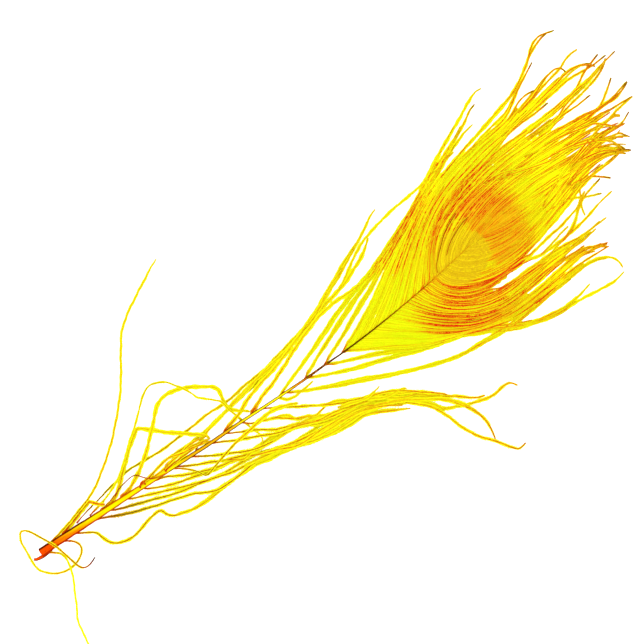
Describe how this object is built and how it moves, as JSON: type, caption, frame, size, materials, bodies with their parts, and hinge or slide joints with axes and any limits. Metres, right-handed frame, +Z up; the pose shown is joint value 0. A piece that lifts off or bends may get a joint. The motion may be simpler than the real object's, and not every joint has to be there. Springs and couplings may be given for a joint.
{
  "type": "peacock eye feather",
  "caption": "Peacock eye feather dyed yellow and orange, lying flat: cut quill, thin shaft, round eye between two vanes, loose kinked barbs, bundles and two long strays.",
  "frame": {"origin": "middle of the feather's box, on the surface it lies on", "axes": "+X along the feather from the cut quill to the tips, +Y to the side of the long upper stray, +Z up from the surface"},
  "size_m": [0.2602, 0.1238, 0.006],
  "materials": {
    "dyed_feather": "soft matte barbs, smooth horny shaft"
  },
  "bodies": {
    "root": {"feather": "dyed_feather"}
  },
  "joints": []
}
